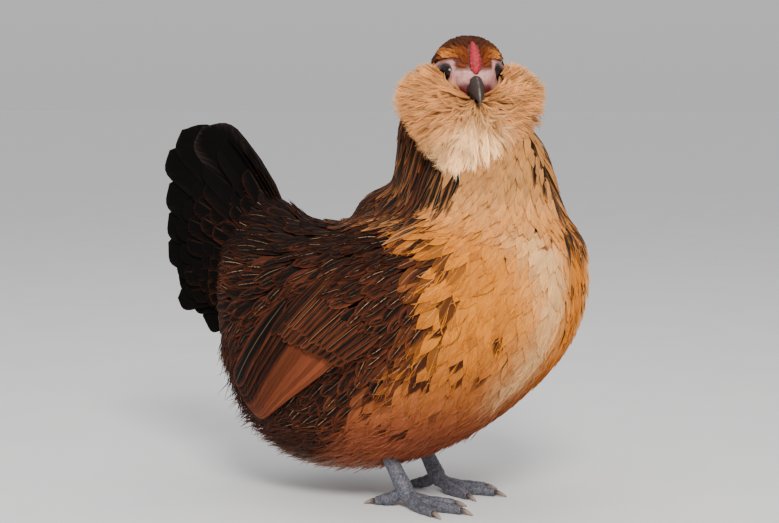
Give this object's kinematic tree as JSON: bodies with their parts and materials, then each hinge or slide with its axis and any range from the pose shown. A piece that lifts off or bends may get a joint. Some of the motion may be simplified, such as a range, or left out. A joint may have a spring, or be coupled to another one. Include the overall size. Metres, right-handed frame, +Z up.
{
  "type": "antwerp bearded bantam",
  "caption": "Small full-breasted bantam hen with beard, muffs and a low comb, standing with its head turned to its right, as a still life-size model.",
  "frame": {"origin": "on the floor, under the middle of the hen's length and width", "axes": "+Z up, the hen faces -Y, its left side is +X"},
  "size_m": [0.1456, 0.2602, 0.2598],
  "materials": {
    "body_feathers": "soft matte feathers, ochre buff with paler shafts, darker and laced on the flanks",
    "hackle_feathers": "silky dark brown feathers with buff-gold edges",
    "head_feathers": "short matte feathers, orange-brown with a dark crown, and pale pink-grey skin round the eyes",
    "ruff_feathers": "soft loose feathers, light buff to cream",
    "wing_feathers": "near-black umber feathers with brown lacing, chestnut wing bay",
    "tail_feathers": "matte black feathers with a faint sheen",
    "comb": "rough waxy pinkish red skin",
    "beak": "satin dark horn with a paler ridge",
    "eye": "glossy, near-black brown",
    "shank": "satin slate scales",
    "claw": "satin dark horn"
  },
  "bodies": {
    "root": {"torso": "body_feathers", "thigh_left": "body_feathers", "thigh_right": "body_feathers", "neck": "hackle_feathers", "head": "head_feathers", "beard": "ruff_feathers", "muff_left": "ruff_feathers", "muff_right": "ruff_feathers", "wing_left": "wing_feathers", "wing_right": "wing_feathers", "tail": "tail_feathers", "comb": "comb", "beak_upper": "beak", "beak_lower": "beak", "eye_left": "eye", "eye_right": "eye", "leg_left": "shank", "leg_right": "shank", "claw_inner_left": "claw", "claw_middle_left": "claw", "claw_outer_left": "claw", "claw_hind_left": "claw", "claw_inner_right": "claw", "claw_middle_right": "claw", "claw_outer_right": "claw", "claw_hind_right": "claw"}
  },
  "joints": []
}
